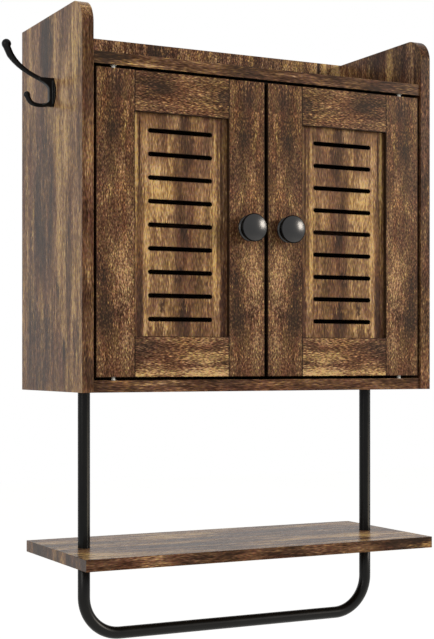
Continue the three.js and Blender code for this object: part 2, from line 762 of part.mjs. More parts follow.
// The upright web between the two prongs, hollowed to a stem by a rounded throat.
function hookWeb(upperLine, lowerLine) {
  const stem = -outerX - hookPlateThickness - hookWebThickness;
  const top = hookHeight + hookPlateHalfHeight;
  const bottom = hookHeight - hookPlateHalfHeight;
  const upperJoin = upperLine.getPointAt(0.22);
  const upperCorner = upperLine.getPointAt(0.16);
  const lowerJoin = lowerLine.getPointAt(0.32);
  const throatTop = upperCorner.z - 2.4 * upperProngWaist;
  const throatBottom = lowerJoin.z + 1.6 * lowerProngWaist;
  const shape = new THREE.Shape();
  shape.moveTo(-outerX, bottom);
  shape.lineTo(stem, bottom);
  shape.lineTo(lowerJoin.x, lowerJoin.z);
  shape.quadraticCurveTo(stem, throatBottom, stem, throatBottom + throatBottomBend);
  shape.lineTo(stem, throatTop - throatTopBend);
  shape.quadraticCurveTo(stem, throatTop, upperJoin.x, upperJoin.z - upperProngWaist);
  shape.lineTo(upperJoin.x, upperJoin.z + upperProngWaist / 2);
  shape.lineTo(-outerX - upperProngRadius, top);
  shape.lineTo(-outerX, top);
  return slabTowardsFront(shape, hookWebWidth, hookY + hookWebWidth / 2, 6);
}

function coatHook() {
  const upperLine = prongLine(upperProngShares, upperProngRoot, upperProngReach, upperProngRise);
  const lowerLine = prongLine(lowerProngShares, -lowerProngRoot, lowerProngReach, lowerProngRise);
  const upper = prong(upperLine, [upperProngRadius, upperProngWaist, upperBallRadius]);
  const lower = prong(lowerLine, [lowerProngRadius, lowerProngWaist, lowerBallRadius]);
  const countersink = hookPlateThickness * headHeightShare;
  const holeRadius = hookScrewRadius + fitClearance;
  const profile = [[0, 0], [hookScrewHeadRadius + fitClearance, 0], [holeRadius, countersink],
    [holeRadius, hookPlateThickness + overcut], [0, hookPlateThickness + overcut]];
  const screwHoles = hookScrewPlaces().map((y) => turned(profile, [hookFaceX, y, hookHeight], [1, 0, 0],
    holeSides));
  return cut(join(hookWeb(upperLine, lowerLine), upper, lower, hookPlate()), ...screwHoles);
}

// ---------- Tube frame, lower shelf and towel bar ----------

// A straight tube under the case: its top plug takes a bolt, and the stud in its bottom plug goes down
// through the lower shelf.
function upperTube(sign) {
  const inner = tubeRadius - tubeWall;
  const bore = studRadius + roundClearance;
  const top = lowerShelfDrop + tubeSeatDepth;
  const studEnd = tubeSeatDepth - lowerShelfThickness - studEngagement;
  const profile = [[0, studEnd], [studRadius, studEnd], [studRadius, 0], [tubeRadius, 0],
    [tubeRadius, top], [bore, top], [bore, top - tubePlugLength], [inner, top - tubePlugLength],
    [inner, tubePlugLength], [0, tubePlugLength]];
  return turned(profile, [sign * tubeX, tubeY, lowerShelfTop - tubeSeatDepth], UP, tubeSides);
}

function lowerShelf() {
  const end = outerX - lowerShelfInset;
  const board = block([-end, frontY - lowerShelfOverhang, lowerShelfUnderside],
    [end, -lowerShelfBackSpace, lowerShelfTop]);
  const holes = sides.flatMap(({ sign }) => [
    rod(studRadius + roundClearance, lowerShelfThickness, [sign * tubeX, tubeY, lowerShelfUnderside], UP),
    rod(tubeRadius + fitClearance, lowerShelfThickness, [sign * tubeX, tubeY, lowerShelfTop - tubeSeatDepth],
      UP, tubeSides),
  ]);
  return cut(board, ...holes);
}

// Centre line of the towel bar: down, round a bend, across, round a bend and up again.
// Its points are spaced by step, so each straight length takes one step and each bend takes bendSteps.
class TowelBarLine extends THREE.Curve {
  getUtoTmapping(u) {
    return u;
  }

  getPoint(t, target = new THREE.Vector3()) {
    const step = t * towelBarSteps;
    const sign = step < towelBarSteps / 2 ? -1 : 1;
    const fromEnd = Math.min(step, towelBarSteps - step);
    const across = tubeX - towelBendRadius;
    const bendTop = towelBarZ + towelBendRadius;
    if (fromEnd <= 1) {
      return target.set(sign * tubeX, tubeY, lowerShelfUnderside + fromEnd * (bendTop - lowerShelfUnderside));
    }
    if (fromEnd <= 1 + bendSteps) {
      const angle = (fromEnd - 1) / bendSteps * Math.PI / 2;
      return target.set(sign * (across + towelBendRadius * Math.cos(angle)), tubeY,
        bendTop - towelBendRadius * Math.sin(angle));
    }
    const share = (towelBarSteps / 2 - fromEnd) * 2;
    return target.set(sign * across * share, tubeY, towelBarZ);
  }
}

function ring(outer, inner) {
  const shape = new THREE.Shape();
  shape.absarc(0, 0, outer, 0, 2 * Math.PI, false);
  const hole = new THREE.Path();
  hole.absarc(0, 0, inner, 0, 2 * Math.PI, true);
  shape.holes.push(hole);
  return shape;
}

function towelBar() {
  const tube = new THREE.ExtrudeGeometry(ring(tubeRadius, tubeRadius - tubeWall), {
    steps: towelBarSteps, extrudePath: new TowelBarLine(), bevelEnabled: false, curveSegments: tubeSides / 2,
  });
  const plugs = sides.map(({ sign }) => rod(tubeRadius - tubeWall / 2, tubePlugLength,
    [sign * tubeX, tubeY, lowerShelfUnderside], DOWN, tubeSides));
  const bores = sides.map(({ sign }) => rod(studRadius + roundClearance, tubePlugLength + 2 * overcut,
    [sign * tubeX, tubeY, lowerShelfUnderside + overcut], DOWN));
  return cut(join(tube, ...plugs), ...bores);
}

function frameBolt(sign) {
  const shaft = frameBoltHeadHeight + frameBoltSeat + studEngagement;
  const profile = [[0, 0], [frameBoltHeadRadius * 0.6, 0], [frameBoltHeadRadius, frameBoltHeadHeight * 0.6],
    [frameBoltHeadRadius, frameBoltHeadHeight], [studRadius, frameBoltHeadHeight], [studRadius, shaft],
    [0, shaft]];
  const top = frameBoltSeat + frameBoltHeadHeight;
  const socket = rod(frameBoltSocketRadius, frameBoltSocketDepth + overcut,
    [sign * tubeX, tubeY, top + overcut], DOWN, 6);
  return cut(turned(profile, [sign * tubeX, tubeY, top], DOWN, smallSides), socket);
}

// ---------- Assembly ----------

place('top_board', topBoard(), wood());
place('bottom_board', bottomBoard(), wood());
place('back_panel', backPanel(), hardboard());
place('back_rail', backRail(), wood());
place('inner_shelf', innerShelf(), wood());
place('magnetic_catch', magneticCatch(), brownPlastic());
place('coat_hook', coatHook(), blackSteel());
place('lower_shelf', lowerShelf(), wood());
place('towel_bar', towelBar(), blackSteel());

hookScrewPlaces().forEach((y, i) => place(`hook_screw_${['front', 'rear'][i]}`,
  flatHeadScrew(hookScrewRadius, hookScrewHeadRadius, hookPlateThickness * headHeightShare,
    hookPlateThickness + hookScrewLength, [hookFaceX, y, hookHeight], [1, 0, 0]), blackSteel()));

for (const { name, sign } of sides) {
  place(`${name}_side_panel`, sidePanel(sign), wood());
  place(`${name}_upper_tube`, upperTube(sign), blackSteel());
  place(`${name}_frame_bolt`, frameBolt(sign), zincSteel());
  place(`${name}_hanging_plate`, hangingPlate(sign), zincSteel());
  plateScrewPlaces(sign).forEach((x, i) => place(`${name}_hanging_screw_${['outer', 'inner'][i]}`,
    flatHeadScrew(plateScrewRadius, plateScrewHeadRadius, plateThickness, plateThickness + plateScrewLength,
      [x, 0, backRailMiddle], TO_FRONT), zincSteel()));
  shelfPinPlaces().forEach((y, i) => place(`${name}_shelf_pin_${['front', 'rear'][i]}`,
    shelfPin(sign, y), zincSteel()));

  place(`${name}_top_cam`, cam(sign, topBoardUnderside, topBoardTop - boardThickness / 2), zincSteel());
  place(`${name}_bottom_cam`, cam(sign, 0, boardThickness / 2), zincSteel());
  camBoltHeights().forEach((z, i) => place(`${name}_${['bottom', 'top'][i]}_cam_bolt`,
    camBolt(sign, z), zincSteel()));

  place(`${name}_top_bush`, pivotBush(sign, topBoardUnderside, 1), whiteNylon());
  place(`${name}_bottom_bush`, pivotBush(sign, boardThickness, -1), whiteNylon());
  place(`${name}_door_top_pivot`, pivotPin(sign, doorTop, 1), whiteNylon());
  place(`${name}_door_bottom_pivot`, pivotPin(sign, doorBottom, -1), whiteNylon());

  place(`${name}_door_outer_stile`, outerStile(sign), wood());
  place(`${name}_door_inner_stile`, innerStile(sign), wood());
  place(`${name}_door_top_rail`, doorRail(sign, 1), wood());
  place(`${name}_door_bottom_rail`, doorRail(sign, -1), wood());
  place(`${name}_door_panel`, slottedPanel(sign), goldenWood());
  place(`${name}_knob`, knob(sign), darkMetal());
  place(`${name}_knob_screw`, knobScrew(sign), zincSteel());
  place(`${name}_strike_plate`, strikePlate(sign), zincSteel());
}

const product = new THREE.Group();
product.add(cabinet);
export default product;
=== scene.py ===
"""Looks for a hanging wall cabinet: rustic boards, black tube frame, cast coat hook and small fittings.

Lengths are metres in the row frame. The doors face -Y, with the wall at y = 0 and the middle at x = 0.
"""

import math

import bmesh
import bpy
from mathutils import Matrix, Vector


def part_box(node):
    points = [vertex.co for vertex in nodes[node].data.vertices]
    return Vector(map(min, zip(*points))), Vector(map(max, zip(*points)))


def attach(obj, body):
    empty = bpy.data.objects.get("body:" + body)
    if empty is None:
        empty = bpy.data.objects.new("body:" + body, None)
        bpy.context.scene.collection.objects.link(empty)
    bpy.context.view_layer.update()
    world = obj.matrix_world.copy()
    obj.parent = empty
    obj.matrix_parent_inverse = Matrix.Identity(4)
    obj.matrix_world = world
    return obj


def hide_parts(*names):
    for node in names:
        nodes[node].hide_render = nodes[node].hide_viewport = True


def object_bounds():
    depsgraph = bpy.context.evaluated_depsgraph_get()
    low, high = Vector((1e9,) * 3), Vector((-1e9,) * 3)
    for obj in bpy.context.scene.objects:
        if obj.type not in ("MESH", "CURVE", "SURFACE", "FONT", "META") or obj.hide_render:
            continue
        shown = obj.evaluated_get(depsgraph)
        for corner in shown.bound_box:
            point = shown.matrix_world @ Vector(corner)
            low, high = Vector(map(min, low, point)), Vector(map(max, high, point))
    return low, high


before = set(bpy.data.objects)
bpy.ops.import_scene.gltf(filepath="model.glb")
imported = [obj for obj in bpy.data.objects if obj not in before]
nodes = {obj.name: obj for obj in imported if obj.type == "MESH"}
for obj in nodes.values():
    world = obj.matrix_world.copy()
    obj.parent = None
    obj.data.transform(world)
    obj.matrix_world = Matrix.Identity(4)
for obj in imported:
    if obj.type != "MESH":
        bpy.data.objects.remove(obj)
cad_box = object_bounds()

MM = 0.001
AXES = {"x": 0, "y": 1, "z": 2}
SIDES = ("left", "right")


# ---------- Colours and node graphs ----------

def linear(code):
    """Linear RGBA of a colour written as six hex digits."""
    channels = [int(code[i:i + 2], 16) / 255 for i in (0, 2, 4)]
    return [c / 12.92 if c <= 0.04045 else ((c + 0.055) / 1.055) ** 2.4 for c in channels] + [1.0]


class Graph:
    """The node tree of a material or a world, with one short method for each kind of node used here."""

    def __init__(self, owner, output="ShaderNodeOutputMaterial"):
        self.owner = owner
        owner.use_nodes = True
        self.tree = owner.node_tree
        self.tree.nodes.clear()
        self.output = self.node(output)

    def node(self, kind, **settings):
        node = self.tree.nodes.new(kind)
        for key, value in settings.items():
            setattr(node, key, value)
        return node

    def feed(self, socket, value):
        """Links a socket to another node's output, or sets it to a plain value."""
        if isinstance(value, bpy.types.NodeSocket):
            self.tree.links.new(value, socket)
        else:
            socket.default_value = value

    def place(self):
        """Where the surface is in the row frame, with its body at rest."""
        return self.node("ShaderNodeTexCoord").outputs["Object"]

    def math(self, operation, *operands, clamp=False):
        node = self.node("ShaderNodeMath", operation=operation, use_clamp=clamp)
        for socket, value in zip(node.inputs, operands):
            self.feed(socket, value)
        return node.outputs[0]

    def total(self, value, *terms):
        """The value plus each term times its share, the terms given as (term, share)."""
        for term, share in terms:
            value = self.math("MULTIPLY_ADD", term, share, value)
        return value

    def vector(self, operation, *operands, output=0):
        node = self.node("ShaderNodeVectorMath", operation=operation)
        for socket, value in zip(node.inputs, operands):
            self.feed(socket, value)
        return node.outputs[output]

    def split(self, vector):
        node = self.node("ShaderNodeSeparateXYZ")
        self.feed(node.inputs[0], vector)
        return node.outputs

    def joined(self, x, y, z):
        node = self.node("ShaderNodeCombineXYZ")
        for socket, value in zip(node.inputs, (x, y, z)):
            self.feed(socket, value)
        return node.outputs[0]

    def noise(self, vector, scale, detail, rough=0.5, distortion=0.0):
        node = self.node("ShaderNodeTexNoise")
        self.feed(node.inputs["Vector"], vector)
        for name, value in (("Scale", scale), ("Detail", detail), ("Roughness", rough),
                            ("Distortion", distortion)):
            node.inputs[name].default_value = value
        return node.outputs[0]

    def remap(self, value, low, high, to_low=0.0, to_high=1.0):
        """Eases from to_low, where the value is low, to to_high, where it is high."""
        node = self.node("ShaderNodeMapRange", interpolation_type="SMOOTHSTEP")
        self.feed(node.inputs[0], value)
        for socket, number in zip(node.inputs[1:5], (low, high, to_low, to_high)):
            socket.default_value = number
        return node.outputs[0]

    def ramp(self, value, stops):
        node = self.node("ShaderNodeValToRGB")
        elements = node.color_ramp.elements
        while len(elements) < len(stops):
            elements.new(0.5)
        for element, (position, colour) in zip(elements, stops):
            element.position = position
            element.color = linear(colour)
        self.feed(node.inputs[0], value)
        return node.outputs[0]

    def mix(self, share, a, b, blend="MIX"):
        node = self.node("ShaderNodeMix", data_type="RGBA", blend_type=blend)
        self.feed(node.inputs[0], share)
        self.feed(node.inputs[6], linear(a) if isinstance(a, str) else a)
        self.feed(node.inputs[7], linear(b) if isinstance(b, str) else b)
        return node.outputs[2]

    def bump(self, height, strength, distance):
        node = self.node("ShaderNodeBump")
        node.inputs["Strength"].default_value = strength
        node.inputs["Distance"].default_value = distance
        self.feed(node.inputs["Height"], height)
        return node.outputs[0]

    def edges(self, radius):
        """1 along sharp edges and 0 on open faces, from how far the rounded normal leans away."""
        rounded = self.node("ShaderNodeBevel", samples=4)
        rounded.inputs["Radius"].default_value = radius
        normal = self.node("ShaderNodeNewGeometry").outputs["Normal"]
        return self.remap(self.vector("DOT_PRODUCT", rounded.outputs[0], normal, output="Value"), 0.995, 0.8)

    def seen(self):
        """1 for a ray from the camera or one that gloss or glass sends on, and 0 for the rest."""
        ray = self.node("ShaderNodeLightPath").outputs
        sent_on = self.math("MAXIMUM", ray["Is Glossy Ray"], ray["Is Transmission Ray"])
        return self.math("MAXIMUM", ray["Is Camera Ray"], sent_on)

    def finish(self, colour, roughness, normal, metallic=0.0, specular=0.5):
        """The finished material, whose surface has these."""
        shader = self.node("ShaderNodeBsdfPrincipled")
        self.feed(shader.inputs["Base Color"], colour)
        self.feed(shader.inputs["Roughness"], roughness)
        self.feed(shader.inputs["Normal"], normal)
        shader.inputs["Metallic"].default_value = metallic
        shader.inputs["Specular IOR Level"].default_value = specular
        self.feed(self.output.inputs[0], shader.outputs[0])
        return self.owner


def material_graph(name):
    """The empty graph of a new material."""
    return Graph(bpy.data.materials.new(name))


# ---------- Wood print ----------

# The print's colours by tone, from its smoky darks to its golden lights.
PRINT = [(0.0, "271605"), (0.15, "3b2416"), (0.3, "4c3322"), (0.45, "5c412e"), (0.6, "70533a"),
         (0.75, "8a6a4a"), (0.88, "a9865b"), (1.0, "c8a672")]
MIDDLE_TONE = 0.45
SMOKE = "2f2c29"
# The dark of the joints, and of the painted shade along gaps, crevices and slot edges.
JOINT_AND_SHADE_DARK = "160e08"
# Pale of the rubbed edges, which also stands for a painted highlight along them.
WORN_AND_HIGHLIT = "a98860"
REDDISH = (1.09, 0.88, 0.93, 1)
OLIVE = (0.98, 1.03, 0.86, 1)
# Pairs of tints that the print's fine speckle swings between.
YELLOW_TO_BLUE = ((1.02, 1, 0.7, 1), (0.98, 1, 1.35, 1))
PINK_TO_GREEN = ((1.06, 0.92, 1, 1), (0.95, 1.08, 1, 1))
# From the cabinet's middle to a place between a door's two stiles, and from its inner stile to its outer one.
BETWEEN_STILES = 120 * MM
STILE_PITCH = 184 * MM
# How far from a seam its dark line, a joint with painted shade along it, begins and is full.
SEAM_REACH = (1.1 * MM, 0.5 * MM)
# How far the pale rub, with its painted highlight, reaches from a sharp edge.
RUBBED_HIGHLIT_EDGE = 1.0 * MM
# How far the flecks fray the outline of a mark.
FLECK_FRAY = 60 * MM


class Print(Graph):
    """The node tree of a printed board, whose layers of noise are drawn out along its grain."""

    def __init__(self, name, grain, across, seed, fold):
        super().__init__(bpy.data.materials.new(name))
        self.grain = grain
        self.across = across
        self.spot = self.folded(fold)
        self.seeded = self.vector("ADD", self.spot, seed)

    def folded(self, fold):
        """The place on the print: a fold lays one door on the other, and "stile" a door's stiles together."""
        place = self.place()
        if not fold:
            return place
        x, y, z = self.split(place)[:3]
        x = self.math("ABSOLUTE", x)
        if fold == "stile":
            outer = self.math("GREATER_THAN", x, BETWEEN_STILES)
            x = self.math("SUBTRACT", x, self.math("MULTIPLY", outer, STILE_PITCH))
        return self.joined(x, y, z)

    def layer(self, across, along, offset, detail=2, roughness=0.5, distortion=0.0):
        """Noise about 0, with this many cells to a metre across and along the grain.

        The offset sets a layer apart from the others.
        """
        cells = tuple(along if axis == self.grain else across for axis in "xyz")
        vector = self.vector("MULTIPLY_ADD", self.seeded, cells, (offset, offset, offset))
        return self.math("SUBTRACT", self.noise(vector, 1, detail, roughness, distortion), 0.5)

    def marked(self, tone, cold, marks, fray, sway, soft):
        """The tone and coldness with the marks, whose outlines fray along the grain and sway across it."""
        offset = [0, 0, 0]
        offset[AXES[self.grain]] = fray
        offset[AXES[self.across]] = sway
        wandering = self.vector("ADD", self.spot, self.joined(*offset))
        for at_across, at_along, half_width, half_length, strength, coldness in marks:
            scale = [0, 0, 0]
            move = [0, 0, 0]
            for axis, at, half in ((self.across, at_across, half_width), (self.grain, at_along, half_length)):
                scale[AXES[axis]] = 1 / (half * MM)
                move[AXES[axis]] = -at / half
            away = self.vector("LENGTH", self.vector("MULTIPLY_ADD", wandering, scale, move), output="Value")
            mark = self.remap(away, *soft)
            tone = self.total(tone, (mark, strength))
            if coldness:
                cold = self.total(cold, (mark, coldness))
        return tone, cold

    def tinted(self, colour, tone):
        """The colour drifting slowly between reddish and olive, with a fine speckle of other tints."""
        hue = self.layer(across=60, along=14, offset=11.3, detail=3, roughness=0.6, distortion=0.4)
        red = self.math("MULTIPLY", self.remap(hue, -0.04, 0.12), self.remap(tone, 0.8, 0.4))
        olive = self.remap(hue, 0.0, -0.14)
        for share, tint in ((red, REDDISH), (olive, OLIVE)):
            colour = self.mix(self.math("MULTIPLY", share, 0.6), colour, tint, "MULTIPLY")
        slow = self.layer(across=40, along=16, offset=12.9)
        blue = self.total(self.layer(across=900, along=450, offset=6.2, detail=1), (slow, 0.35))
        green = self.layer(across=900, along=400, offset=13.7, detail=1)
        for speckle, reach, tints in ((blue, 0.22, YELLOW_TO_BLUE), (green, 0.2, PINK_TO_GREEN)):
            tint = self.mix(self.remap(speckle, -reach, reach), *tints)
            colour = self.mix(1.0, colour, tint, "MULTIPLY")
        return colour

    def joints_and_painted_shade(self, colour, rim, seams):
        """The colour darkened along the board's sharp edges and its seams: dark joints, with painted shade in
        the gaps, crevices and slot edges.
        """
        dark = self.edges(rim * MM)
        for axis, at in seams:
            away = self.math("ABSOLUTE", self.math("SUBTRACT", self.split(self.spot)[AXES[axis]], at * MM))
            dark = self.math("MAXIMUM", dark, self.remap(away, *SEAM_REACH))
        return self.mix(self.math("MULTIPLY", dark, 0.85), colour, JOINT_AND_SHADE_DARK)

    def rubbed_and_highlit(self, colour, flecks):
        """The colour with its sharp edges rubbed pale, fleck by fleck, which also paints the highlight along
        them.
        """
        worn = self.math("MULTIPLY", self.edges(RUBBED_HIGHLIT_EDGE), self.remap(flecks, -0.1, 0.1))
        return self.mix(self.math("MULTIPLY", worn, 0.35), colour, WORN_AND_HIGHLIT)


def rustic(name, grain, across, seed, marks, fold=None, shift=0.0, patch=1.0, streak=1.0, fine=1.0, run=10,
           width=850, length=250, ragged=90, sway_width=4, soft=(1.3, 0.6), chill=0.35, rim=0.0, seams=(),
           rough=0.3, specular=0.08, bump=0.05):
    """Printed rustic board: smoky and golden patches, streaks and short flecks along the grain, and edges
    either rubbed pale with a painted highlight or darkened with painted shade.

    grain and across are the axes along and across the grain, and seed moves the print on the board.
    A mark is (across the grain, along it, half width, half length, tone, coldness), lengths in millimetres.
    fold "door" prints both doors as mirror images, and "stile" also repeats one print on a door's two stiles.
    shift lightens the whole print; patch, streak and fine are the strengths of patches, streaks and flecks.
    run is how many streaks fit a metre along the grain; width and length are how many flecks do, across and
    along it. ragged and sway_width are how far the marks' outlines stray along and across the grain, in
    millimetres, and soft is where a mark begins and is full, as shares of its size.
    chill is how far the coldest places turn to smoke.
    rim is how far painted shade creeps from the sharp edges onto the faces, in millimetres; with none they
    are rubbed pale, which also paints their highlight. seams are the planes, as (axis, millimetres), where
    such a
    board has a dark line: a dark joint with painted shade along it.
    """
    g = Print(name, grain, across, seed, fold)
    patches = g.layer(across=28, along=1.3 * run, offset=1.3, detail=3, roughness=0.55, distortion=0.4)
    streaks = g.layer(across=90, along=run, offset=3.7, detail=3, roughness=0.6, distortion=0.1)
    threads = g.layer(across=420, along=4.5 * run, offset=7.9, roughness=0.6)
    flecks = g.layer(across=width, along=length, offset=9.2, detail=1, roughness=0.6)
    specks = g.layer(across=1.7 * width, along=1.6 * length, offset=4.4, detail=0)
    tone = g.total(MIDDLE_TONE + shift, (patches, 0.95 * patch), (streaks, 0.6 * streak),
                   (threads, 0.45 * streak))
    cold = g.math("MULTIPLY", g.remap(patches, -0.02, -0.16), 0.35)

    fray = g.total(g.math("MULTIPLY", streaks, ragged * MM), (flecks, FLECK_FRAY))
    sway = g.math("MULTIPLY", g.layer(across=30, along=14, offset=15.1), sway_width * MM)
    tone, cold = g.marked(tone, cold, marks, fray, sway, soft)

    grit = g.total(g.math("MULTIPLY", flecks, 1.1 * fine), (specks, 0.7 * fine))
    grained = g.math("ADD", tone, grit)
    colour = g.tinted(g.ramp(grained, PRINT), tone)
    cold = g.math("MULTIPLY", cold, g.remap(grained, 0.8, 0.35), clamp=True)
    colour = g.mix(g.math("MULTIPLY", cold, chill), colour, SMOKE)
    colour = g.joints_and_painted_shade(colour, rim, seams) if rim else g.rubbed_and_highlit(colour, flecks)

    gloss = g.remap(flecks, -0.2, 0.2, rough + 0.04, rough - 0.04)
    return g.finish(colour, gloss, g.bump(grit, bump, 0.1 * MM), specular=specular)


# ---------- Metals and plastics ----------

def black_coat(name, low, high, specular, rough):
    """Black powder coat or paint with a faint orange peel and slightly worn edges."""
    g = material_graph(name)
    place = g.place()
    peel = g.noise(place, 900, 2)
    cloud = g.noise(place, 30, 3, 0.6)
    colour = g.mix(cloud, low, high)
    colour = g.mix(g.math("MULTIPLY", g.edges(0.8 * MM), 0.25), colour, "3c3a38")
    gloss = g.remap(cloud, 0.3, 0.7, rough, rough + 0.06)
    return g.finish(colour, gloss, g.bump(peel, 0.08, 0.1 * MM), specular=specular)


def dark_metal(name, low, high, specular):
    """Dark satin metal of the knobs."""
    g = material_graph(name)
    place = g.place()
    cloud = g.noise(place, 60, 3, 0.6)
    grit = g.noise(place, 1500, 2)
    gloss = g.remap(grit, 0.3, 0.7, 0.2, 0.25)
    return g.finish(g.mix(cloud, low, high), gloss, g.bump(grit, 0.03, 0.05 * MM), specular=specular)


def zinc(name):
    """Bright zinc plate with faint blue and yellow clouds."""
    g = material_graph(name)
    place = g.place()
    cloud = g.noise(place, 140, 3, 0.6)
    grit = g.noise(place, 1800, 2)
    gloss = g.remap(cloud, 0.3, 0.7, 0.28, 0.42)
    return g.finish(g.mix(cloud, "a9adb2", "bdb9a8"), gloss, g.bump(grit, 0.08, 0.05 * MM), metallic=1.0)


def plastic(name, dark, light, rough):
    """Moulded plastic with a fine spark texture."""
    g = material_graph(name)
    place = g.place()
    cloud = g.noise(place, 90, 2)
    spark = g.noise(place, 2200, 1)
    gloss = g.remap(spark, 0.3, 0.7, rough - 0.06, rough + 0.06)
    return g.finish(g.mix(cloud, dark, light), gloss, g.bump(spark, 0.1, 0.05 * MM))


def hardboard(name):
    """Brown hardboard with short pressed fibres."""
    g = material_graph(name)
    place = g.place()
    fibres = g.noise(g.vector("MULTIPLY", place, (700, 700, 160)), 1, 3, 0.6, 0.8)
    cloud = g.noise(place, 12, 3, 0.6)
    colour = g.mix(g.remap(fibres, 0.35, 0.65), "42301f", "5d442c")
    colour = g.mix(g.math("MULTIPLY", cloud, 0.3), colour, "392717")
    return g.finish(colour, 0.75, g.bump(fibres, 0.2, 0.1 * MM), specular=0.3)


def painted_shade_wall(name):
    """Near-black brown finish: painted shade on the walls of the panels' slots and on the top board's
    underside above the doors.
    """
    g = material_graph(name)
    mottle = g.noise(g.place(), 500, 3, 0.6)
    return g.finish(g.mix(mottle, "070504", "120d09"), 0.7, g.bump(mottle, 0.3, 0.2 * MM), specular=0.1)


# ---------- Meshes ----------

WELD = 0.002 * MM
FLAT_ANGLE = math.radians(1)
SHARP_ANGLE = math.radians(40)


def evaluated_mesh(obj):
    """The mesh of a helper object with its modifiers applied. The helper itself is removed."""
    bpy.context.view_layer.update()
    depsgraph = bpy.context.evaluated_depsgraph_get()
    mesh = bpy.data.meshes.new_from_object(obj.evaluated_get(depsgraph))
    bpy.data.objects.remove(obj)
    return mesh


def softened(mesh, width):
    """A copy of a sharp-edged mesh with its edges rounded and its flat faces left flat."""
    bm = bmesh.new()
    bm.from_mesh(mesh)
    bmesh.ops.remove_doubles(bm, verts=bm.verts, dist=WELD)
    bmesh.ops.dissolve_limit(bm, angle_limit=FLAT_ANGLE, verts=bm.verts, edges=bm.edges)
    for face in bm.faces:
        face.material_index = 0
    bare = bpy.data.meshes.new("bare")
    bm.to_mesh(bare)
    bm.free()
    bare.materials.clear()
    for name in ("flat", "round"):
        bare.materials.append(bpy.data.materials.get(name) or bpy.data.materials.new(name))
    obj = bpy.data.objects.new("bare", bare)
    bpy.context.scene.collection.objects.link(obj)
    bevel = obj.modifiers.new("bevel", "BEVEL")
    bevel.width = width
    bevel.segments = 2
    bevel.limit_method = "ANGLE"
    bevel.angle_limit = SHARP_ANGLE
    bevel.material = 1
    bevel.use_clamp_overlap = True
    made = evaluated_mesh(obj)
    for polygon in made.polygons:
        polygon.use_smooth = polygon.material_index == 1
        polygon.material_index = 0
    return made


def ring(bm, centre, across, other, radius, sides):
    """A ring of points around a centre, in the plane of two unit vectors."""
    return [bm.verts.new(centre + across * (radius * math.cos(a)) + other * (radius * math.sin(a)))
            for a in (2 * math.pi * i / sides for i in range(sides))]


def finished_round(bm, corner):
    """The mesh with smooth faces, and edges kept sharp where it turns by more than corner degrees."""
    bmesh.ops.recalc_face_normals(bm, faces=bm.faces)
    for face in bm.faces:
        face.smooth = True
    for edge in bm.edges:
        edge.smooth = not (edge.is_manifold and edge.calc_face_angle(0) > math.radians(corner))
    mesh = bpy.data.meshes.new("round")
    bm.to_mesh(mesh)
    bm.free()
    return mesh


def lathe_mesh(profile, start, axis, sides):
    """A turned mesh; profile points are (radius, distance along the axis) and axis is a unit vector."""
    axis = Vector(axis)
    start = Vector(start)
    across = axis.orthogonal().normalized()
    other = axis.cross(across)
    bm = bmesh.new()
    rings = []
    for radius, along in profile:
        centre = start + axis * along
        rings.append(ring(bm, centre, across, other, radius, sides) if radius else [bm.verts.new(centre)])
    for low, high in zip(rings, rings[1:]):
        for i in range(sides):
            j = (i + 1) % sides
            corners = [low[i % len(low)], low[j % len(low)], high[j % len(high)], high[i % len(high)]]
            unique = list(dict.fromkeys(corners))
            if len(unique) > 2:
                bm.faces.new(unique)
    return finished_round(bm, corner=32)


def swept_mesh(path, radii, normal, sides):
    """A closed round bar along a path in a plane with this unit normal."""
    normal = Vector(normal)
    bm = bmesh.new()
    rings = []
    for i, (point, radius) in enumerate(zip(path, radii)):
        before = path[max(i - 1, 0)]
        after = path[min(i + 1, len(path) - 1)]
        outward = (after - before).normalized().cross(normal)
        rings.append(ring(bm, point, outward, normal, radius, sides))
    for low, high in zip(rings, rings[1:]):
        for i in range(sides):
            j = (i + 1) % sides
            bm.faces.new([low[i], low[j], high[j], high[i]])
    bm.faces.new(list(reversed(rings[0])))
    bm.faces.new(rings[-1])
    return finished_round(bm, corner=50)


def rounded(profile, radius, steps=4, most=0.45):
    """The profile with each inner corner replaced by a curve, which takes at most this share of a side."""
    points = [profile[0]]
    for before, corner, after in zip(profile, profile[1:], profile[2:]):
        b, c, a = (Vector(p) for p in (before, corner, after))
        cut = min(radius, (b - c).length * most, (a - c).length * most)
        p0 = c + (b - c).normalized() * cut
        p1 = c + (a - c).normalized() * cut
        for i in range(steps + 1):
            t = i / steps
            points.append(tuple((1 - t) ** 2 * p0 + 2 * t * (1 - t) * c + t ** 2 * p1))
    points.append(profile[-1])
    return points


def cast_mesh(node, voxel, rounds):
    """A cast form: the node's mesh rebuilt in small voxels, with its facets and corners smoothed away."""
    obj = bpy.data.objects.new("cast", nodes[node].data.copy())
    bpy.context.scene.collection.objects.link(obj)
    remesh = obj.modifiers.new("remesh", "REMESH")
    remesh.mode = "VOXEL"
    remesh.voxel_size = voxel
    remesh.use_smooth_shade = True
    smooth = obj.modifiers.new("smooth", "SMOOTH")
    smooth.factor = 0.5
    smooth.iterations = rounds
    return evaluated_mesh(obj)


def cut_across(mesh, axis, place):
    """Cuts the mesh's faces along a plane, so that the part in front of it can have its own finish."""
    bm = bmesh.new()
    bm.from_mesh(mesh)
    normal = [0, 0, 0]
    normal[AXES[axis]] = 1
    bmesh.ops.bisect_plane(bm, geom=bm.verts[:] + bm.edges[:] + bm.faces[:], dist=1e-6,
                           plane_co=[place * part for part in normal], plane_no=normal)
    bm.to_mesh(mesh)
    bm.free()


# ---------- Pieces ----------

def piece(name, mesh, material, body, slot, *replaced):
    """Adds a piece that moves with a body, has this material as its finish and stands for the replaced nodes.
    slot is not used.
    """
    obj = bpy.data.objects.new(name, mesh)
    bpy.context.scene.collection.objects.link(obj)
    obj.data.materials.clear()
    obj.data.materials.append(material)
    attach(obj, body)
    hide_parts(*replaced)
    return obj


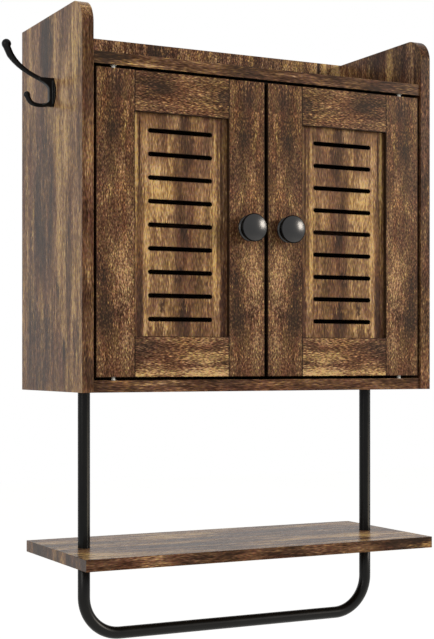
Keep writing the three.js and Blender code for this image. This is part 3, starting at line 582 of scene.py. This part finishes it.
def paint(obj, material, chosen):
    """Gives another finish to the faces that chosen(face) picks."""
    obj.data.materials.append(material)
    index = len(obj.data.materials) - 1
    for face in obj.data.polygons:
        if chosen(face):
            face.material_index = index


def board(node, material, body, slot="rustic_board", width=0.5 * MM):
    """Adds the board that stands for a node, with its edges rounded over this width."""
    return piece(node + "_board", softened(nodes[node].data, width), material, body, slot, node)


# ---------- Wood finishes ----------

# Marks are (across the grain, along it, half width, half length, tone, coldness), lengths in millimetres.
STILE_MARKS = [
    (28, -66, 13, 22, -0.14, 0.7), (30, -122, 12, 22, -0.17, 0.9), (15, -88, 7, 24, 0.16, 0),
    (40, -170, 10, 40, -0.08, 0.4), (9, -168, 7, 22, -0.08, 0.2), (36, -190, 7, 16, 0.12, 0),
    (9, -228, 7, 36, 0.2, 0), (22, -292, 18, 44, 0.2, 0), (7, -270, 4, 13, -0.14, 0.5),
    (45, -320, 8, 26, -0.14, 0.7), (40, -366, 12, 26, -0.15, 0.9), (47, -225, 9, 34, -0.13, 0.4),
    (8, -370, 7, 30, 0.06, 0), (28, -418, 34, 18, -0.13, 0), (28, -337, 30, 26, 0.09, 0)]
PANEL_MARKS = [
    (182, -150, 2.2, 75, 0.42, 0), (168.5, -290, 5, 100, 0.2, 0), (177.4, -140, 1.2, 52, -0.5, 0),
    (170, -150, 5, 55, 0.14, 0), (136, -148, 4, 20, 0.3, 0), (147, -205, 18, 44, 0.3, 0),
    (117, -113, 11, 12, -0.26, 0.9), (113, -137, 13, 13, -0.24, 0.9), (110, -163, 8, 17, -0.24, 0.9),
    (94, -150, 13, 40, -0.08, 0.4), (72, -225, 3, 130, 0.28, 0), (77, -190, 2, 90, 0.14, 0),
    (62.5, -190, 2.2, 100, -0.28, 0.2), (67, -200, 1, 110, -0.18, 0), (177, -338, 4.5, 58, -0.24, 0.8),
    (150, -268, 20, 40, 0.12, 0), (114, -257, 8, 14, -0.28, 1), (123, -312, 7, 10, -0.24, 0.9),
    (95, -316, 16, 9, -0.18, 0.8), (146, -347, 3.5, 8, -0.3, 1), (115, -364, 10, 22, -0.36, 1),
    (92, -374, 9, 14, -0.2, 0.8), (60, -340, 4.5, 55, -0.22, 0.8), (152, -366, 18, 13, 0.26, 0),
    (95, -240, 10, 50, 0.1, 0), (88, -343, 20, 15, -0.16, 0.5), (166, -155, 21, 42, 0.18, 0),
    (62, -185, 7, 58, 0.2, 0), (86, -268, 15, 42, -0.1, 0.3)]
TOP_RAIL_MARKS = [
    (-96, 150, 5, 48, 0.13, 0), (-70, 152, 9, 20, -0.12, 0.6), (-78, 61, 12, 11, -0.12, 0.6),
    (-76, 100, 9, 24, 0.05, 0), (-60, 120, 4, 50, -0.06, 0)]
BOTTOM_RAIL_MARKS = [
    (-428, 80, 8, 46, 0.36, 0), (-430, 150, 7, 56, 0.26, 0), (-412, 100, 9, 60, 0.12, 0),
    (-395, 166, 9, 24, -0.12, 0.4), (-405, 90, 9, 40, 0.08, 0), (-388, 70, 4, 30, -0.08, 0)]
# The thin light mark at (-212, 0) is a painted highlight along the front edge's bevel.
LEFT_SIDE_MARKS = [
    (-94, -5, 24, 50, -0.34, 1), (-131, -10, 11, 50, 0.26, 0), (-160, 0, 13, 44, -0.04, 0.4),
    (-197, -10, 14, 60, 0.22, 0), (-172, -105, 38, 80, 0.12, 0), (-84, -210, 36, 115, -0.22, 1),
    (-74, -400, 50, 62, -0.16, 1), (-160, -290, 6, 80, 0.18, 0), (-188, -285, 8, 90, 0.2, 0),
    (-137, -323, 5, 13, -0.34, 1), (-158, -402, 6, 15, -0.34, 1), (-212, 0, 1.2, 60, 0.25, 0),
    (-8, -325, 3, 45, 0.25, 0), (-14, -80, 8, 110, 0.1, 0), (-40, -20, 14, 40, 0.12, 0),
    (-200, -395, 14, 50, -0.14, 0.7), (-174, -215, 4, 60, -0.12, 0.5), (-222, -200, 3.6, 500, -0.26, 0),
    (-137, -165, 10, 75, 0.2, 0), (-38, -305, 18, 75, -0.2, 0.9), (-222, -150, 3.4, 58, 0.17, 0),
    (-222, -236, 3.4, 24, -0.18, 0), (-222, -300, 3.4, 28, 0.1, 0), (-222, -343, 3.4, 13, -0.18, 0),
    (-222, -424, 3.4, 22, -0.13, 0.5)]
# The golden strips at -142 and -193 are print made stronger as painted light, which the lamps don't give this
# inner face; the mark at -35 is painted light on the shaded back corner.
RIGHT_SIDE_MARKS = [
    (-142, 0, 11, 40, 0.36, 0), (-193, 0, 10, 50, 0.4, 0), (-206, 0, 2, 45, -0.26, 0),
    (-100, 0, 22, 40, -0.05, 0.3), (-168, 0, 8, 40, -0.04, 0.3), (-35, 0, 28, 40, 0.14, 0)]
CASE_MARKS = [
    (-40, -226, 12, 22, -0.18, 1), (-40, -120, 12, 60, 0.08, 0), (-40, -40, 12, 30, -0.12, 0.7),
    (-445, -180, 12, 60, -0.1, 0.5), (-445, 60, 12, 60, 0.08, 0), (-40, 190, 12, 40, -0.1, 0.5),
    (-662, -155, 12, 20, 0.25, 0), (-662, -60, 12, 60, 0.12, 0), (-662, 100, 12, 70, 0.14, 0),
    (-662, 220, 12, 45, -0.3, 0.7)]
# The wide golden mark at 222 is painted light on the shaded corner by the right side.
BACK_RAIL_MARKS = [
    (-60, 5, 24, 40, -0.18, 0.9), (60, 5, 40, 40, -0.1, 0.5), (165, 5, 40, 40, 0.14, 0),
    (-180, 5, 25, 40, 0.1, 0), (140, 5, 1.5, 40, -0.4, 0), (214, 5, 5, 40, 0.4, 0),
    (233, 5, 9, 40, 0.5, 0), (222, 5, 30, 60, 0.15, 0), (203, 5, 2.2, 60, -0.9, 0.3)]
# The golden marks at (-185, -228) and (-176, 180) are a painted reflection: the tubes' feet hiding the
# shelf's sheen.
SHELF_MARKS = [
    (-231, 0, 5, 3000, -0.42, 0.3), (-100, -258, 300, 6, -0.55, 0.9), (-185, -228, 16, 22, 0.3, 0),
    (-176, 180, 20, 20, 0.42, 0)]
# The first mark greys the whole end face as a painted sheen.
SHELF_END_MARKS = [
    (-120, -662, 400, 400, 0, 0.9), (-60, -662, 18, 60, -0.2, 0.3), (-150, -662, 14, 60, 0.14, 0)]
# The planes of a door's dark lines: the joints of stiles and rails, with painted shade at the doors' gaps and
# along the rails' edges over the panel; and how far the painted shade creeps from sharp edges, in
# millimetres.
STILE_SEAMS = [("x", 2.5), ("x", 54.5)]
RAIL_SEAMS = [("x", 54.5), ("x", 186.5), ("z", -102), ("z", -382)]
JOINT_SHADE_RIM = 1.8

stile_wood = rustic("rustic_stile", "z", "x", (3.1, 0.7, 1.9), STILE_MARKS, fold="stile", shift=-0.02,
                    patch=1.2, streak=0.9, fine=1.35, width=860, length=215, ragged=25, soft=(1.55, 0.2),
                    rim=JOINT_SHADE_RIM, seams=STILE_SEAMS)
top_rail_wood = rustic("rustic_top_rail", "x", "z", (5.3, 2.1, 0.4), TOP_RAIL_MARKS, fold="door", shift=-0.03,
                       patch=0.9, fine=1.6, width=1080, length=175, ragged=30, soft=(1.5, 0.3),
                       rim=JOINT_SHADE_RIM, seams=RAIL_SEAMS)
bottom_rail_wood = rustic("rustic_bottom_rail", "x", "z", (4.1, 2.6, 0.9), BOTTOM_RAIL_MARKS, fold="door",
                          shift=0.03, patch=1.2, streak=1.2, fine=1.65, width=1050, length=160, ragged=30,
                          soft=(1.5, 0.3), rim=JOINT_SHADE_RIM, seams=RAIL_SEAMS)
# The panel's darkened rim is painted shade along the edges of its slots.
panel_wood = rustic("rustic_panel", "z", "x", (8.2, 4.4, 3.6), PANEL_MARKS, fold="door", shift=0.125,
                    patch=0.68, streak=0.95, fine=0.75, run=6, length=120, sway_width=3, rim=2.4)
left_side_wood = rustic("rustic_left_side", "z", "y", (1.4, 6.2, 7.7), LEFT_SIDE_MARKS, shift=0.15, patch=0.9,
                        streak=1.6, run=5, width=900, length=120, ragged=50, sway_width=3, chill=0.5)
right_side_wood = rustic("rustic_right_side", "z", "y", (7.4, 1.2, 2.7), RIGHT_SIDE_MARKS, shift=-0.11,
                         patch=0.9, streak=1.6, fine=1.4, length=170)
case_wood = rustic("rustic_case", "x", "z", (2.6, 9.1, 4.8), CASE_MARKS, shift=-0.1, patch=1.4, streak=1.7,
                   fine=1.15, run=7, width=1050, length=100)
shelf_wood = rustic("rustic_shelf", "x", "y", (9.6, 3.1, 1.8), SHELF_MARKS, shift=0.14, patch=1.9, streak=2.3,
                    fine=1.1, run=4, length=110, rough=0.28, specular=0.03, bump=0.02)
shelf_end_wood = rustic("rustic_shelf_end", "z", "y", (2.2, 5.7, 1.1), SHELF_END_MARKS, shift=-0.05,
                        patch=1.2, streak=1.3, fine=0.9, run=8, length=120, chill=0.45, specular=0.11)
back_rail_wood = rustic("rustic_back_rail", "z", "x", (6.6, 3.3, 5.1), BACK_RAIL_MARKS, shift=0.04,
                        streak=2.2, fine=1.5)
painted_shade = painted_shade_wall("painted_shade_slot_wall")

# ---------- Boards ----------

# How squarely a face has to face an axis to be painted as that side of its board.
FACING = 0.9
# The slots lie this far inside a panel's box, and their walls this far inside its front and back.
SLOT_MARGIN = 25 * MM
SLOT_SKIN = 0.05 * MM
# The top board's underside is painted dark from this plane to the front: painted shade in the gap above the
# doors.
SHADED_STRIP = -195 * MM


def shade_slots(panel, node):
    """Paints shade on the faces inside the panel's slots, which lie between its front and its back."""
    low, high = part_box(node)

    def inside(face):
        c = face.center
        return (low.x + SLOT_MARGIN < c.x < high.x - SLOT_MARGIN
                and low.z + SLOT_MARGIN / 2 < c.z < high.z - SLOT_MARGIN / 2
                and low.y + SLOT_SKIN < c.y < high.y - SLOT_SKIN)

    paint(panel, painted_shade, inside)


board("left_side_panel", left_side_wood, "cabinet")
board("right_side_panel", right_side_wood, "cabinet")
for side in SIDES:
    body = side + "_door"
    board(body + "_outer_stile", stile_wood, body)
    board(body + "_inner_stile", stile_wood, body)
    board(body + "_top_rail", top_rail_wood, body)
    board(body + "_bottom_rail", bottom_rail_wood, body)
    panel = body + "_panel"
    shade_slots(board(panel, panel_wood, body, slot="golden_panel", width=0.3 * MM), panel)
top_board = board("top_board", case_wood, "cabinet")
cut_across(top_board.data, "y", SHADED_STRIP)
# Painted shade: the underside in front of the strip is dark because the gap above the doors lies in shade.
paint(top_board, painted_shade, lambda face: face.normal.z < -FACING and face.center.y < SHADED_STRIP)
board("bottom_board", case_wood, "cabinet")
board("inner_shelf", case_wood, "cabinet")
lower_shelf = board("lower_shelf", shelf_wood, "cabinet")
paint(lower_shelf, case_wood, lambda face: abs(face.normal.y) > FACING)
paint(lower_shelf, shelf_end_wood, lambda face: abs(face.normal.x) > FACING)
board("back_rail", back_rail_wood, "cabinet")

# ---------- Tubes and towel bar ----------

TUBE_SIDES = 48
TUBE_CHAMFER = 0.3 * MM
TUBE_SEAT = 1.5 * MM
STUD_RADIUS = 3 * MM
BEND_RADIUS = 50 * MM
BEND_STEPS = 24

tube_coat = black_coat("black_powder_coat", low="0b0b0b", high="111110", specular=0.13, rough=0.19)
cast_coat = black_coat("black_cast_coat", low="090909", high="0f0f0f", specular=0.12, rough=0.31)
bar_coat = black_coat("black_bar_coat", low="080808", high="0e0e0c", specular=0.165, rough=0.29)
shelf_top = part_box("lower_shelf")[1].z


def upper_tube_mesh(node):
    """A tube that stands a little way into the shelf, with a thin stud going on below it."""
    low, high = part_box(node)
    radius = (high.x - low.x) / 2
    centre = (low + high) / 2
    foot = shelf_top - TUBE_SEAT
    profile = [(0, low.z), (STUD_RADIUS, low.z), (STUD_RADIUS, foot), (radius - TUBE_CHAMFER, foot),
               (radius, foot + TUBE_CHAMFER), (radius, high.z - TUBE_CHAMFER),
               (radius - TUBE_CHAMFER, high.z), (0, high.z)]
    return lathe_mesh(profile, (centre.x, centre.y, 0), (0, 0, 1), TUBE_SIDES)


def towel_bar_mesh():
    """A bar that comes down from the shelf, runs level and goes up again, with a round bend at each end."""
    low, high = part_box("towel_bar")
    radius = (high.y - low.y) / 2
    y = (low.y + high.y) / 2
    left = low.x + radius
    right = high.x - radius
    bend_centre = low.z + radius + BEND_RADIUS
    turns = [math.pi / 2 * i / BEND_STEPS for i in range(BEND_STEPS + 1)]
    path = [Vector((left, y, high.z)), Vector((left, y, high.z - TUBE_CHAMFER))]
    path += [Vector((left + BEND_RADIUS * (1 - math.cos(a)), y, bend_centre - BEND_RADIUS * math.sin(a)))
             for a in turns]
    path += [Vector((right - BEND_RADIUS * (1 - math.sin(a)), y, bend_centre - BEND_RADIUS * math.cos(a)))
             for a in turns]
    path += [Vector((right, y, high.z - TUBE_CHAMFER)), Vector((right, y, high.z))]
    radii = [radius] * len(path)
    radii[0] = radii[-1] = radius - TUBE_CHAMFER
    return swept_mesh(path, radii, (0, 1, 0), TUBE_SIDES)


for side in SIDES:
    node = side + "_upper_tube"
    piece(node + "_round", upper_tube_mesh(node), tube_coat, "cabinet", "black_tube", node)
piece("towel_bar_round", towel_bar_mesh(), bar_coat, "cabinet", "black_tube", "towel_bar")

# ---------- Knobs ----------

# Profile points are (radius, distance from the door), in millimetres.
KNOB_BORE = [(0, 9.3), (2.3, 9.3), (2.3, 0)]
KNOB_BACK = [(8.5, 0), (8.5, 1.2), (6.3, 3.4), (6.3, 5.1), (17, 7.8), (17, 9.6), (14.7, 11.2), (14.7, 16.4),
             (18.2, 18), (18.2, 20.8)]
KNOB_TOP = 24.6
KNOB_CURVE = 0.7
KNOB_SIDES = 96
# The crown starts at this share of the radius, and falls by this share of its height towards the edge.
CROWN_START = 0.975
CROWN_FALL = 0.88
CROWN_STEPS = 24
# Painted shade: the groove behind the crown, from and to, and a dark outline on the lip, outside this share
# of the radius.
GROOVE = (10.5, 17)
LIP_SHARE = 0.95

knob_metal = dark_metal("dark_knob_metal", low="1f1f20", high="252526", specular=0.35)
knob_painted_shade = dark_metal("dark_knob_painted_shade", low="030303", high="070707", specular=0.05)


def knob_profile():
    radius, rim = KNOB_BACK[-1]
    shares = [CROWN_START * (1 - i / CROWN_STEPS) for i in range(CROWN_STEPS)]
    crown = [(radius * share, rim + (KNOB_TOP - rim) * (1 - CROWN_FALL * share ** 2)) for share in shares]
    bore, back, front = ([(r * MM, a * MM) for r, a in points]
                         for points in (KNOB_BORE, KNOB_BACK, crown + [(0, KNOB_TOP)]))
    return bore + rounded(back, KNOB_CURVE * MM) + front


def add_knob(node, door):
    low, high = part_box(node)
    start = ((low.x + high.x) / 2, high.y, (low.z + high.z) / 2)

    # Faces in the groove and on the lip get the near-black painted shade.
    def dark(face):
        out = math.hypot(face.center.x - start[0], face.center.z - start[2]) / MM
        forward = (start[1] - face.center.y) / MM
        on_lip = forward > GROOVE[1] and out > LIP_SHARE * KNOB_BACK[-1][0]
        return on_lip or GROOVE[0] < forward < GROOVE[1]

    mesh = lathe_mesh(knob_profile(), start, (0, -1, 0), KNOB_SIDES)
    paint(piece(node + "_turned", mesh, knob_metal, door, "dark_metal", node), knob_painted_shade, dark)


for side in SIDES:
    add_knob(side + "_knob", side + "_door")

# ---------- Coat hook ----------

hook_mesh = cast_mesh("coat_hook", voxel=0.45 * MM, rounds=14)
piece("coat_hook_cast", hook_mesh, cast_coat, "cabinet", "black_iron", "coat_hook")
for node in ("hook_screw_front", "hook_screw_rear"):
    nodes[node].material_slots[0].material = cast_coat

# ---------- Small fittings ----------

STEEL_ENDINGS = ("cam", "cam_bolt", "frame_bolt", "hanging_plate", "knob_screw", "strike_plate")

steel = zinc("zinc_plate")
nylon = plastic("white_nylon", "dcdcd6", "e9e9e3", rough=0.5)
brown_plastic = plastic("brown_catch_plastic", "2f2219", "3d2c20", rough=0.45)
pressed_board = hardboard("pressed_hardboard")

fittings = {"magnetic_catch": brown_plastic, "back_panel": pressed_board}
for name in nodes:
    if name.endswith(("bush", "pivot")):
        fittings[name] = nylon
    elif name.endswith(STEEL_ENDINGS) or "hanging_screw" in name or "shelf_pin" in name:
        fittings[name] = steel
for name, material in fittings.items():
    nodes[name].material_slots[0].material = material

# ---------- Room, light and camera ----------

FLOOR_HALF = 12.0
FLOOR_BELOW = 0.9
FLOOR_GLOW = 0.7
AMBIENT = 0.42
CABINET_MIDDLE = (0, -0.1, -0.37)
TUBES_MIDDLE = (0, -0.12, -1.0)
CAMERA_PLACE = (-0.9032, -1.8459, -0.4116)
CAMERA_TURN = -27.134


def add_floor():
    """A plain pale floor under the object's shadow, a little brighter to the camera and in reflections."""
    mesh = bpy.data.meshes.new("floor")
    z = cad_box[0][2] - FLOOR_BELOW
    corners = [(x * FLOOR_HALF, y * FLOOR_HALF, z) for x, y in ((-1, -1), (1, -1), (1, 1), (-1, 1))]
    mesh.from_pydata(corners, [], [(0, 1, 2, 3)])
    obj = bpy.data.objects.new("floor", mesh)
    bpy.context.scene.collection.objects.link(obj)
    g = material_graph("pale_floor")
    shader = g.node("ShaderNodeBsdfDiffuse")
    g.feed(shader.inputs[0], g.mix(g.noise(g.place(), 1.5, 3), "d8d8d6", "dcdcda"))
    glow = g.node("ShaderNodeEmission")
    g.feed(glow.inputs["Strength"], g.math("MULTIPLY", g.seen(), FLOOR_GLOW))
    both = g.node("ShaderNodeAddShader")
    g.feed(both.inputs[0], shader.outputs[0])
    g.feed(both.inputs[1], glow.outputs[0])
    g.feed(g.output.inputs[0], both.outputs[0])
    obj.data.materials.append(g.owner)


def add_world():
    """Plain soft light from all around, which is white to the camera and in reflections."""
    studio = bpy.data.worlds.new("studio")
    bpy.context.scene.world = studio
    g = Graph(studio, "ShaderNodeOutputWorld")
    back = g.node("ShaderNodeBackground")
    back.inputs["Color"].default_value = (1, 1, 1, 1)
    g.feed(back.inputs["Strength"], g.remap(g.seen(), 0.0, 1.0, AMBIENT, 1.0))
    g.feed(g.output.inputs[0], back.outputs[0])


def add_lamp(name, place, target, size, power, colour):
    data = bpy.data.lights.new(name, "AREA")
    data.shape = "RECTANGLE"
    data.size, data.size_y = size
    data.energy = power
    data.color = linear(colour)[:3]
    obj = bpy.data.objects.new(name, data)
    obj.location = place
    obj.rotation_euler = (Vector(target) - Vector(place)).to_track_quat("-Z", "Y").to_euler()
    bpy.context.scene.collection.objects.link(obj)
    return obj


def add_tube_stripe():
    """A low warm card, which only shows as the light stripe along the two upright tubes."""
    card = add_lamp("low_card", place=(2.16, -1.585, -1.0), target=TUBES_MIDDLE, size=(1.5, 0.6),
                    power=17, colour="ffeecc")
    card.visible_diffuse = False
    lit_tubes = bpy.data.collections.new("lit_tubes")
    for side in SIDES:
        lit_tubes.objects.link(bpy.data.objects[side + "_upper_tube_round"])
    card.light_linking.receiver_collection = lit_tubes


def add_camera():
    """The photograph's view: level, from the left front, with a small shift for its framing."""
    data = bpy.data.cameras.new("camera")
    data.sensor_width = 36
    data.lens = 80.49
    data.shift_x = -0.0034
    data.shift_y = 0.0631
    camera = bpy.data.objects.new("camera", data)
    camera.location = CAMERA_PLACE
    camera.rotation_euler = (math.radians(90), 0, math.radians(CAMERA_TURN))
    bpy.context.scene.collection.objects.link(camera)
    bpy.context.scene.camera = camera


add_floor()
add_world()
add_lamp("key", place=(3.89, -3.14, 0.89), target=CABINET_MIDDLE, size=(1.3, 1.3), power=185,
         colour="fff4e6")
add_lamp("fill", place=(-2.4, -1.3, 0.3), target=CABINET_MIDDLE, size=(1.4, 1.4), power=29,
         colour="fffaf2")
add_tube_stripe()
add_camera()
bpy.context.scene.view_settings.view_transform = "Standard"
